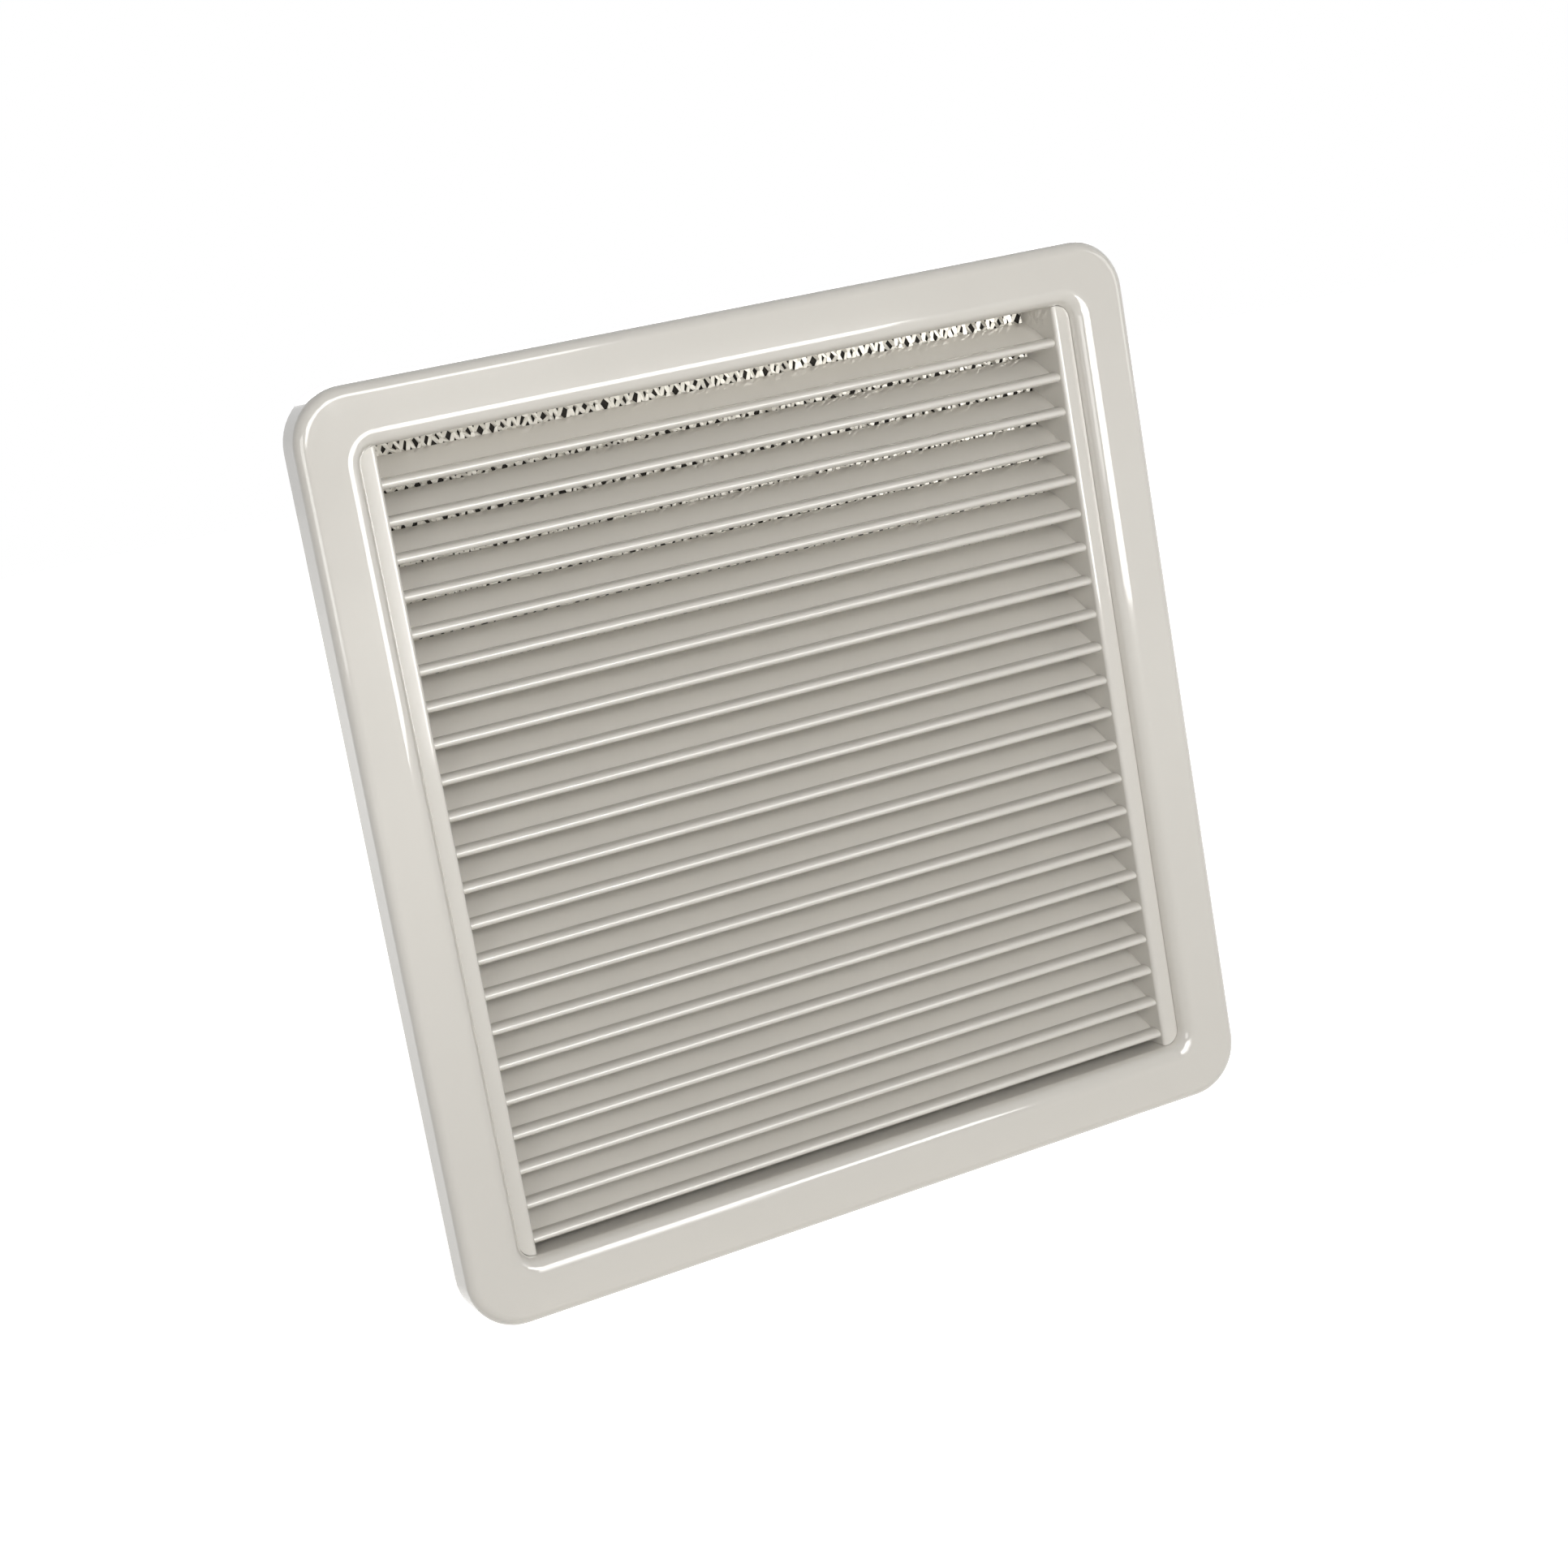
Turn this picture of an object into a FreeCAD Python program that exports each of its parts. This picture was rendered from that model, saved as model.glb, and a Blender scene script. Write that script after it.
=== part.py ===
"""Louvred air intake grille: a moulded bezel with a rear collar, two side rails,
a stack of fixed slats, and behind them a mesh screen and a filter mat that a screwed
retainer clamps against the collar.

Axes: X to the right, Y from the front to the back, Z up. The origin is the centre of
the opening, on the plane of the flange's back rim that lies against the wall.
"""

import math
import os

import FreeCAD, Part
import Sketcher

SIZES = {
    # bezel
    "opening_width": 325.0,
    "opening_height": 336.0,
    "opening_corner": 6.5,
    "flange_margin": 25.7,
    "flange_corner": 22.8,
    "flange_depth": 17.5,
    "flange_edge_round": 5.0,
    "lip_round": 7.0,
    "face_wall": 4.0,
    "outer_wall": 4.0,
    "collar_wall": 4.0,
    "rib_thickness": 2.5,
    "rib_setback": 2.6,
    "rib_count": 4,
    "boss_size": 9.0,
    "boss_from_opening": 4.2,
    "boss_spacing": 170.0,
    # wall fixings
    "fixing_from_opening": 9.5,
    "fixing_post": 9.0,
    "fixing_depth": 11.0,
    "fixing_pilot": 1.75,
    # side rails
    "strip_setback": 7.0,
    "rail_depth": 27.0,
    "rail_width": 7.65,
    "rail_fit": 0.15,
    "rail_wall": 2.2,
    "rail_back_wall": 3.0,
    "rail_nose_round": 2.0,
    "rail_block": 9.0,
    # slats
    "slat_count": 22,
    "top_gap": 13.5,
    "bottom_gap": 7.5,
    "crease_depth": 8.7,
    "nose_reach": 6.6,
    "nose_flat": 1.95,
    "nose_thickness": 4.5,
    "nose_back": 0.5,
    "groove_width": 0.4,
    "groove_depth": 0.8,
    "blade_run": 16.95,
    "blade_rise": 8.15,
    "blade_bow": 0.6,
    "blade_thickness": 1.8,
    "tenon_width": 10.0,
    "tenon_thickness": 1.1,
    "tenon_length": 2.0,
    "slot_clearance": 0.2,
    # mesh screen, filter mat and their retainer
    "mesh_thickness": 1.2,
    "mesh_strand": 5.0,
    "mesh_columns": 6,
    "mesh_rows": 7,
    "mesh_side_overlap": 5.0,
    "mesh_end_gap": 0.5,
    "mesh_fit": 0.2,
    "mat_thickness": 3.0,
    "retainer_lip": 1.6,
    "retainer_margin": 8.0,
    "retainer_bar": 8.0,
    "retainer_side_cover": 7.5,
    "retainer_end_cover": 8.0,
    # fixing screws
    "screw_length": 13.0,
    "pilot_spare": 1.0,
    "screw_radius": 1.5,
    "pilot_radius": 1.5,
    "head_radius": 3.2,
    "head_height": 2.0,
    "rail_screw_inset": 2.7,
    "rail_screw_end": 4.5,
}

DERIVED = {
    "flange_width": "opening_width + 2 * flange_margin",
    "flange_height": "opening_height + 2 * flange_margin",
    "hollow_depth": "flange_depth - face_wall",
    "strip_front": "flange_depth - strip_setback",
    "rear_plane": "rail_depth - strip_front",
    "rail_inner": "opening_width / 2 - rail_fit - rail_width",
    "rail_height": "opening_height - 2 * rail_fit",
    "fixing_width": "opening_width + 2 * fixing_from_opening",
    "fixing_height": "opening_height + 2 * fixing_from_opening",
    "top_crease": "opening_height / 2 - top_gap",
    "slat_pitch": "(opening_height - top_gap - bottom_gap) / (slat_count - 1)",
    "blade_chord": "sqrt(blade_run ^ 2 + blade_rise ^ 2)",
    "blade_angle": "atan(blade_rise / blade_run)",
    "blade_radius": "(blade_chord ^ 2 / 4 + blade_bow ^ 2) / (2 * blade_bow)",
    "tenon_lift": "blade_bow - blade_thickness / 2",
    "tenon_run": "groove_width + blade_run / 2 - tenon_lift * blade_rise / blade_chord",
    "tenon_rise": "blade_rise / 2 - groove_depth + tenon_lift * blade_run / blade_chord",
    "mesh_width": "2 * (rail_inner + rail_width - mesh_side_overlap)",
    "mesh_height": "opening_height - 2 * mesh_end_gap",
    "retainer_thickness": "mesh_thickness + mat_thickness + retainer_lip",
    "pilot_depth": "screw_length - retainer_thickness + pilot_spare",
    "window_width": "opening_width - 2 * retainer_side_cover",
    "window_height": "opening_height - 2 * retainer_end_cover",
    "cell_width": "(window_width - 2 * mesh_strand) / (mesh_columns + 0.5)",
    "cell_height": "(window_height - 2 * mesh_strand) / (mesh_rows + 0.5)",
}

# edges and faces closer than this to a plane count as lying on it
NEAR = 0.01
QUARTER_TURN = math.pi / 2
HEXAGON_SIDES = 6

CORNERS = [("left_top", -1, 1), ("right_top", 1, 1), ("left_bottom", -1, -1), ("right_bottom", 1, -1)]
RAIL_SCREW_ACROSS = "(sizes.rail_inner + sizes.rail_width - sizes.rail_screw_inset)"
RAIL_SCREWS = [
    ("top", "(sizes.rail_height / 2 - sizes.rail_screw_end)"),
    ("bottom", "-(sizes.rail_height / 2 - sizes.rail_screw_end)"),
]

doc = FreeCAD.newDocument("intake_grille")
sheet = doc.addObject("Spreadsheet::Sheet", "sizes")


def fill_sheet():
    """Writes the driving sizes, then the sizes worked out from them."""
    row = 1
    for name, number in SIZES.items():
        sheet.set(f"A{row}", name)
        sheet.set(f"B{row}", str(number))
        sheet.setAlias(f"B{row}", name)
        row += 1
    for name, formula in DERIVED.items():
        sheet.set(f"A{row}", name)
        sheet.setAlias(f"B{row}", name)
        sheet.set(f"B{row}", "=" + formula)
        row += 1
    doc.recompute()


def size(name):
    """The present number of one named size."""
    return float(getattr(sheet, name))


def worth(formula):
    """The present number of an expression in the sheet's names."""
    answer = sheet.evalExpression(formula)
    return float(getattr(answer, "Value", answer))


def bind(item, prop, formula):
    """Ties a property to an expression in the sheet's names, each written sizes.NAME."""
    item.setExpression(prop, formula)


def new_body(name):
    body = doc.addObject("PartDesign::Body", name)
    body.Label = name
    return body


def new_sketch(body, name, role, offset=None):
    """A sketch on one of the body's own planes, moved along its normal by an expression."""
    sketch = body.newObject("Sketcher::SketchObject", name)
    plane = [item for item in body.Origin.OriginFeatures if item.Role == role][0]
    sketch.AttachmentSupport = [(plane, "")]
    sketch.MapMode = "FlatFace"
    if offset:
        bind(sketch, "AttachmentOffset.Base.z", offset)
    doc.recompute()
    return sketch


def dimension(sketch, constraint, name, formula):
    """Adds a named dimension to a sketch and ties it to an expression."""
    index = sketch.addConstraint(constraint)
    sketch.renameConstraint(index, name)
    bind(sketch, "Constraints." + name, formula)


def rounded_rectangle(sketch, name, width, height, corner):
    """A rectangle with rounded corners, centred on the sketch's origin."""
    half_w, half_h, radius = worth(width) / 2, worth(height) / 2, worth(corner)
    inner_w, inner_h = half_w - radius, half_h - radius
    up = FreeCAD.Vector(0, 0, 1)
    first = len(sketch.Geometry)
    corners = [(inner_w, inner_h), (-inner_w, inner_h), (-inner_w, -inner_h), (inner_w, -inner_h)]
    sides = [
        ((inner_w, half_h), (-inner_w, half_h)),
        ((-half_w, inner_h), (-half_w, -inner_h)),
        ((-inner_w, -half_h), (inner_w, -half_h)),
        ((half_w, -inner_h), (half_w, inner_h)),
    ]
    for turn in range(4):
        x, z = corners[turn]
        ring = Part.Circle(FreeCAD.Vector(x, z, 0), up, radius)
        start = turn * QUARTER_TURN
        sketch.addGeometry(Part.ArcOfCircle(ring, start, start + QUARTER_TURN), False)
        a, b = sides[turn]
        line = Part.LineSegment(FreeCAD.Vector(a[0], a[1], 0), FreeCAD.Vector(b[0], b[1], 0))
        sketch.addGeometry(line, False)
    arcs = [first, first + 2, first + 4, first + 6]
    lines = [first + 1, first + 3, first + 5, first + 7]
    for turn in range(4):
        sketch.addConstraint(Sketcher.Constraint("Tangent", arcs[turn], 2, lines[turn], 1))
        following = arcs[(turn + 1) % 4]
        sketch.addConstraint(Sketcher.Constraint("Tangent", lines[turn], 2, following, 1))
    for turn in (0, 2):
        sketch.addConstraint(Sketcher.Constraint("Horizontal", lines[turn]))
        sketch.addConstraint(Sketcher.Constraint("Vertical", lines[turn + 1]))
    for turn in (1, 2, 3):
        sketch.addConstraint(Sketcher.Constraint("Equal", arcs[0], arcs[turn]))
    sketch.addConstraint(Sketcher.Constraint("Symmetric", arcs[0], 3, arcs[2], 3, -1, 1))
    across = Sketcher.Constraint("DistanceX", lines[1], 1, lines[3], 1, 2 * half_w)
    dimension(sketch, across, name + "_width", width)
    tall = Sketcher.Constraint("DistanceY", lines[2], 1, lines[0], 1, 2 * half_h)
    dimension(sketch, tall, name + "_height", height)
    dimension(sketch, Sketcher.Constraint("Radius", arcs[0], radius), name + "_corner", corner)


def rectangle(sketch, name, left, bottom, width, height):
    """An upright rectangle whose lower left corner is at (left, bottom)."""
    x, z = worth(left), worth(bottom)
    w, h = worth(width), worth(height)
    first = len(sketch.Geometry)
    points = [(x, z), (x + w, z), (x + w, z + h), (x, z + h)]
    for turn in range(4):
        a, b = points[turn], points[(turn + 1) % 4]
        line = Part.LineSegment(FreeCAD.Vector(a[0], a[1], 0), FreeCAD.Vector(b[0], b[1], 0))
        sketch.addGeometry(line, False)
    for turn in range(4):
        following = first + (turn + 1) % 4
        sketch.addConstraint(Sketcher.Constraint("Coincident", first + turn, 2, following, 1))
    for turn in (0, 2):
        sketch.addConstraint(Sketcher.Constraint("Horizontal", first + turn))
        sketch.addConstraint(Sketcher.Constraint("Vertical", first + turn + 1))
    dimension(sketch, Sketcher.Constraint("DistanceX", -1, 1, first, 1, x), name + "_left", left)
    dimension(sketch, Sketcher.Constraint("DistanceY", -1, 1, first, 1, z), name + "_bottom", bottom)
    dimension(sketch, Sketcher.Constraint("DistanceX", first, 1, first, 2, w), name + "_width", width)
    tall = Sketcher.Constraint("DistanceY", first + 1, 1, first + 1, 2, h)
    dimension(sketch, tall, name + "_height", height)


def centred_rectangle(sketch, name, width, height):
    """An upright rectangle centred on the sketch's origin."""
    rectangle(sketch, name, f"-{width} / 2", f"-{height} / 2", width, height)


def square(sketch, name, across, up, side):
    """A square centred at (across, up)."""
    rectangle(sketch, name, f"{across} - {side} / 2", f"{up} - {side} / 2", side, side)


def circle(sketch, name, across, up, radius):
    """A circle whose centre is at (across, up)."""
    x, z, r = worth(across), worth(up), worth(radius)
    ring = Part.Circle(FreeCAD.Vector(x, z, 0), FreeCAD.Vector(0, 0, 1), r)
    index = sketch.addGeometry(ring, False)
    dimension(sketch, Sketcher.Constraint("DistanceX", -1, 1, index, 3, x), name + "_across", across)
    dimension(sketch, Sketcher.Constraint("DistanceY", -1, 1, index, 3, z), name + "_up", up)
    dimension(sketch, Sketcher.Constraint("Radius", index, r), name + "_radius", radius)


def pad(body, name, sketch, length, backwards=False, both_ways=False):
    """Material added along the sketch's normal, or against it if backwards."""
    feature = body.newObject("PartDesign::Pad", name)
    feature.Profile = sketch
    feature.Reversed = backwards
    if both_ways:
        feature.SideType = "Symmetric"
    bind(feature, "Length", length)
    doc.recompute()
    return feature


def pocket(body, name, sketch, length, along_normal=False):
    """Material removed against the sketch's normal, or along it. It has to remove some."""
    before = body.Shape.Volume
    feature = body.newObject("PartDesign::Pocket", name)
    feature.Profile = sketch
    feature.Reversed = along_normal
    bind(feature, "Length", length)
    doc.recompute()
    if not body.Shape.Volume < before:
        raise RuntimeError(name + " removes nothing")
    return feature


def line_pattern(body, name, feature, sketch, axis, length, count, backwards=False):
    """Copies of a feature in a row along one axis of its sketch."""
    pattern = body.newObject("PartDesign::LinearPattern", name)
    pattern.Originals = [feature]
    pattern.Direction = (sketch, [axis])
    pattern.Reversed = backwards
    bind(pattern, "Length", length)
    bind(pattern, "Occurrences", count)
    body.Tip = pattern
    doc.recompute()
    return pattern


def fillet(body, name, radius, wanted):
    """Rounds the edges of the body's present shape that pass the test."""
    base = body.Tip
    edges = []
    for index, edge in enumerate(base.Shape.Edges, start=1):
        if wanted(edge.BoundBox):
            edges.append(f"Edge{index}")
    feature = body.newObject("PartDesign::Fillet", name)
    feature.Base = (base, edges)
    bind(feature, "Radius", radius)
    doc.recompute()
    return feature


def build_frame():
    """The one-piece bezel: a hollow-backed flange, a rounded lip round the opening,
    and a collar that goes back through the wall and carries the screw bosses."""
    body = new_body("frame")

    block = new_sketch(body, "flange_outline", "XZ_Plane")
    rounded_rectangle(block, "flange", "sizes.flange_width", "sizes.flange_height", "sizes.flange_corner")
    pad(body, "flange_block", block, "sizes.flange_depth")
    front = -size("flange_depth")
    fillet(body, "flange_edge", "sizes.flange_edge_round",
           lambda box: box.YMax < front + NEAR)

    hollow = new_sketch(body, "hollow_outline", "XZ_Plane")
    rounded_rectangle(hollow, "hollow", "sizes.flange_width - 2 * sizes.outer_wall",
                      "sizes.flange_height - 2 * sizes.outer_wall",
                      "sizes.flange_corner - sizes.outer_wall")
    pocket(body, "flange_hollow", hollow, "sizes.hollow_depth", along_normal=True)

    for name, wide in (("rib_upright", True), ("rib_level", False)):
        span = "sizes.opening_width" if wide else "sizes.opening_height"
        reach = "sizes.flange_height" if wide else "sizes.flange_width"
        step = f"{span} / (sizes.rib_count + 1)"
        start = f"-{span} / 2 + {step} - sizes.rib_thickness / 2"
        length = f"{reach} - sizes.outer_wall"
        low = f"-({length}) / 2"
        sketch = new_sketch(body, name + "_outline", "XZ_Plane", "sizes.rib_setback")
        if wide:
            rectangle(sketch, name, start, low, "sizes.rib_thickness", length)
        else:
            rectangle(sketch, name, low, start, length, "sizes.rib_thickness")
        rib = pad(body, name, sketch, "sizes.hollow_depth - sizes.rib_setback + sizes.face_wall / 2")
        line_pattern(body, name + "_row", rib, sketch, "H_Axis" if wide else "V_Axis",
                     f"{span} - 2 * {step}", "sizes.rib_count")

    collar = new_sketch(body, "collar_outline", "XZ_Plane", "-sizes.rear_plane")
    rounded_rectangle(collar, "collar", "sizes.opening_width + 2 * sizes.collar_wall",
                      "sizes.opening_height + 2 * sizes.collar_wall",
                      "sizes.opening_corner + sizes.collar_wall")
    pad(body, "collar_block", collar, "sizes.rear_plane + sizes.hollow_depth + sizes.face_wall / 2")

    posts = new_sketch(body, "post_outline", "XZ_Plane")
    for name, x_sign, z_sign in CORNERS:
        across, up = fixing_place(x_sign, z_sign)
        square(posts, name, across, up, "sizes.fixing_post")
    pad(body, "fixing_posts", posts, "sizes.hollow_depth + sizes.face_wall / 2")

    bosses = new_sketch(body, "boss_outline", "XZ_Plane", "-sizes.rear_plane")
    for name, x_sign, z_sign in CORNERS:
        across = f"{x_sign} * sizes.boss_spacing / 2"
        square(bosses, name, across, boss_height(z_sign), "sizes.boss_size")
    pad(body, "screw_bosses", bosses, "sizes.rear_plane + sizes.hollow_depth + sizes.face_wall / 2")

    opening = new_sketch(body, "opening_outline", "XZ_Plane", "-sizes.rear_plane")
    rounded_rectangle(opening, "opening", "sizes.opening_width", "sizes.opening_height",
                      "sizes.opening_corner")
    pocket(body, "opening", opening, "sizes.rear_plane + sizes.flange_depth", along_normal=True)
    half_w, half_h = size("opening_width") / 2 + NEAR, size("opening_height") / 2 + NEAR
    fillet(body, "lip", "sizes.lip_round",
           lambda box: box.YMax < front + NEAR and box.XMax < half_w and box.XMin > -half_w
           and box.ZMax < half_h and box.ZMin > -half_h)

    pilots = new_sketch(body, "pilot_outline", "XZ_Plane", "-sizes.rear_plane")
    for name, x_sign, z_sign in CORNERS:
        across = f"{x_sign} * sizes.boss_spacing / 2"
        circle(pilots, name, across, boss_height(z_sign), "sizes.pilot_radius")
    pocket(body, "pilot_holes", pilots, "sizes.pilot_depth", along_normal=True)

    sockets = new_sketch(body, "fixing_hole_outline", "XZ_Plane")
    for name, x_sign, z_sign in CORNERS:
        across, up = fixing_place(x_sign, z_sign)
        circle(sockets, name, across, up, "sizes.fixing_pilot")
    pocket(body, "fixing_holes", sockets, "sizes.fixing_depth", along_normal=True)
    return body


def fixing_place(x_sign, z_sign):
    """Where a wall fixing sits behind a corner of the flange."""
    return f"{x_sign} * sizes.fixing_width / 2", f"{z_sign} * sizes.fixing_height / 2"


def boss_height(z_sign):
    """Where a screw boss sits above or below the opening."""
    return f"{z_sign} * (sizes.opening_height / 2 + sizes.boss_from_opening)"


def build_right_rail():
    """The side rail: its front web is the flat strip beside the slats, and its inner wall
    has one slot for the tenon of each slat. It is hollow towards the collar."""
    body = new_body("right_side_rail")

    outline = new_sketch(body, "rail_outline", "XZ_Plane", "sizes.strip_front")
    rectangle(outline, "rail", "sizes.rail_inner", "-sizes.rail_height / 2",
              "sizes.rail_width", "sizes.rail_height")
    pad(body, "rail_block", outline, "sizes.rail_depth", backwards=True)
    outer = size("rail_inner") + size("rail_width") - NEAR
    inner = size("rail_inner") + NEAR
    front = -size("strip_front") + NEAR
    end = size("rail_height") / 2 - NEAR
    fillet(body, "rail_corners", "sizes.opening_corner - sizes.rail_fit",
           lambda box: box.XMin > outer and (box.ZMin > end or box.ZMax < -end))
    fillet(body, "rail_nose", "sizes.rail_nose_round",
           lambda box: box.XMax < inner and box.YMax < front)

    cavity = new_sketch(body, "cavity_outline", "YZ_Plane", "sizes.rail_inner + sizes.rail_width")
    depth = "sizes.rail_depth - sizes.rail_wall - sizes.rail_back_wall"
    height = "(sizes.rail_height - 3 * sizes.rail_block) / 2"
    start = "sizes.rail_wall - sizes.strip_front"
    rectangle(cavity, "upper", start, "sizes.rail_block / 2", depth, height)
    rectangle(cavity, "lower", start, f"-sizes.rail_block / 2 - {height}", depth, height)
    pocket(body, "rail_cavity", cavity, "sizes.rail_width - sizes.rail_wall")

    slot = new_sketch(body, "slot_outline", "YZ_Plane", "sizes.rail_inner")
    tenon_outline(slot, "slot", "sizes.crease_depth - sizes.strip_front + sizes.tenon_run",
                  "sizes.top_crease + sizes.tenon_rise", "2 * sizes.slot_clearance")
    slot_depth = "sizes.tenon_length + sizes.slot_clearance"
    cut = pocket(body, "slat_slot", slot, slot_depth, along_normal=True)
    line_pattern(body, "slat_slots", cut, slot, "V_Axis",
                 "(sizes.slat_count - 1) * sizes.slat_pitch", "sizes.slat_count", backwards=True)

    pilots = new_sketch(body, "pilot_outline", "XZ_Plane", "-sizes.rear_plane")
    for name, up in RAIL_SCREWS:
        circle(pilots, name, RAIL_SCREW_ACROSS, up, "sizes.pilot_radius")
    pocket(body, "pilot_holes", pilots, "sizes.pilot_depth", along_normal=True)
    return body


def tenon_outline(sketch, name, along, up, growth):
    """A slanted rectangle in line with the blade, centred at (along, up)."""
    x, z = worth(along), worth(up)
    half_w = (size("tenon_width") + worth(growth)) / 2
    half_t = (size("tenon_thickness") + worth(growth)) / 2
    turn = FreeCAD.Rotation(FreeCAD.Vector(0, 0, 1), size("blade_angle"))
    middle = FreeCAD.Vector(x, z, 0)
    points = []
    for a, b in ((-1, -1), (1, -1), (1, 1), (-1, 1)):
        points.append(middle + turn.multVec(FreeCAD.Vector(a * half_w, b * half_t, 0)))
    first = len(sketch.Geometry)
    for index in range(4):
        sketch.addGeometry(Part.LineSegment(points[index], points[(index + 1) % 4]), False)
    centre = sketch.addGeometry(Part.Point(middle), True)
    for index in range(4):
        following = first + (index + 1) % 4
        sketch.addConstraint(Sketcher.Constraint("Coincident", first + index, 2, following, 1))
    sketch.addConstraint(Sketcher.Constraint("Parallel", first, first + 2))
    sketch.addConstraint(Sketcher.Constraint("Parallel", first + 1, first + 3))
    sketch.addConstraint(Sketcher.Constraint("Perpendicular", first, first + 1))
    sketch.addConstraint(Sketcher.Constraint("Symmetric", first, 1, first + 2, 1, centre, 1))
    dimension(sketch, Sketcher.Constraint("DistanceX", -1, 1, centre, 1, x), name + "_along", along)
    dimension(sketch, Sketcher.Constraint("DistanceY", -1, 1, centre, 1, z), name + "_up", up)
    width = Sketcher.Constraint("Distance", first, 2 * half_w)
    dimension(sketch, width, name + "_width", f"sizes.tenon_width + {growth}")
    thickness = Sketcher.Constraint("Distance", first + 1, 2 * half_t)
    dimension(sketch, thickness, name + "_thickness", f"sizes.tenon_thickness + {growth}")
    tilt = FreeCAD.Units.Quantity(size("blade_angle"), "deg")
    slope = Sketcher.Constraint("Angle", -1, 1, first, 1, tilt)
    dimension(sketch, slope, name + "_slope", "sizes.blade_angle")


def slat_outline(sketch):
    """The slat's section, with its origin at the crease between nose and blade: a bullet nose,
    a fine groove behind it, and a thin bowed blade that rises to the back."""
    reach, flat, thick = size("nose_reach"), size("nose_flat"), size("nose_thickness")
    back, groove, step = size("nose_back"), size("groove_width"), size("groove_depth")
    run, rise, wall = size("blade_run"), size("blade_rise"), size("blade_thickness")
    radius, bow, chord = size("blade_radius"), size("blade_bow"), size("blade_chord")
    up = FreeCAD.Vector(0, 0, 1)
    along = FreeCAD.Vector(run / chord, rise / chord, 0)
    normal = FreeCAD.Vector(-rise / chord, run / chord, 0)
    start = FreeCAD.Vector(groove, -step, 0)
    finish = start + FreeCAD.Vector(run, rise, 0)
    centre = start + along * (chord / 2) - normal * (radius - bow)
    inner = radius - wall
    tail = centre + (finish - centre) * (inner / radius)
    under_z = centre.y + (inner ** 2 - (back - centre.x) ** 2) ** 0.5
    under = FreeCAD.Vector(back, under_z, 0)
    top_front = FreeCAD.Vector(-flat, 0, 0)
    low_front = FreeCAD.Vector(-flat, -thick, 0)
    low_back = FreeCAD.Vector(back, -thick, 0)

    def angle(point):
        away = point - centre
        return FreeCAD.Vector(1, 0, 0).getAngle(away)

    zero = FreeCAD.Vector(0, 0, 0)
    tip_centre = FreeCAD.Vector(-flat, -thick / 2, 0)
    tip = FreeCAD.Vector(-reach, -thick / 2, 0)
    ellipse = Part.Ellipse(tip, top_front, tip_centre)
    nose = Part.ArcOfEllipse(ellipse, -QUARTER_TURN, QUARTER_TURN)
    parts = [
        Part.LineSegment(zero, top_front),
        nose,
        Part.LineSegment(low_front, low_back),
        Part.LineSegment(low_back, under),
        Part.ArcOfCircle(Part.Circle(centre, up, inner), angle(tail), angle(under)),
        Part.LineSegment(tail, finish),
        Part.ArcOfCircle(Part.Circle(centre, up, radius), angle(finish), angle(start)),
        Part.LineSegment(start, zero),
    ]
    for part in parts:
        sketch.addGeometry(part, False)
    roof, tip_arc, floor, heel, belly, edge, crown, groove_side = range(8)
    fix = sketch.addConstraint
    fix(Sketcher.Constraint("Coincident", roof, 1, -1, 1))
    fix(Sketcher.Constraint("Horizontal", roof))
    nose_top = 1 if sketch.getPoint(tip_arc, 1).y > sketch.getPoint(tip_arc, 2).y else 2
    fix(Sketcher.Constraint("Coincident", roof, 2, tip_arc, nose_top))
    fix(Sketcher.Constraint("Coincident", tip_arc, 3 - nose_top, floor, 1))
    fix(Sketcher.Constraint("Vertical", roof, 2, tip_arc, 3))
    fix(Sketcher.Constraint("Vertical", tip_arc, 3, floor, 1))
    long_axis = len(sketch.Geometry)
    sketch.exposeInternalGeometry(tip_arc)
    tip_end = 1 if sketch.getPoint(long_axis, 1).x < sketch.getPoint(long_axis, 2).x else 2
    fix(Sketcher.Constraint("Horizontal", floor))
    fix(Sketcher.Constraint("Coincident", floor, 2, heel, 1))
    fix(Sketcher.Constraint("Vertical", heel))
    fix(Sketcher.Constraint("Coincident", heel, 2, belly, 2))
    fix(Sketcher.Constraint("Coincident", belly, 1, edge, 1))
    fix(Sketcher.Constraint("Coincident", edge, 2, crown, 1))
    fix(Sketcher.Constraint("Coincident", crown, 2, groove_side, 1))
    fix(Sketcher.Constraint("Coincident", groove_side, 2, roof, 1))
    fix(Sketcher.Constraint("Coincident", crown, 3, belly, 3))
    fix(Sketcher.Constraint("PointOnObject", crown, 3, edge))
    lengths = [
        ("flat", "DistanceX", (roof, 2, roof, 1, flat), "sizes.nose_flat"),
        ("reach", "DistanceX", (long_axis, tip_end, -1, 1, reach), "sizes.nose_reach"),
        ("thick", "DistanceY", (floor, 1, roof, 2, thick), "sizes.nose_thickness"),
        ("heel", "DistanceX", (-1, 1, floor, 2, back), "sizes.nose_back"),
        ("groove", "DistanceX", (-1, 1, crown, 2, groove), "sizes.groove_width"),
        ("step", "DistanceY", (crown, 2, -1, 1, step), "sizes.groove_depth"),
        ("run", "DistanceX", (crown, 2, crown, 1, run), "sizes.blade_run"),
        ("rise", "DistanceY", (crown, 2, crown, 1, rise), "sizes.blade_rise"),
        ("crown", "Radius", (crown, radius), "sizes.blade_radius"),
        ("belly", "Radius", (belly, inner), "sizes.blade_radius - sizes.blade_thickness"),
    ]
    for name, kind, places, formula in lengths:
        dimension(sketch, Sketcher.Constraint(kind, *places), name, formula)


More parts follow.
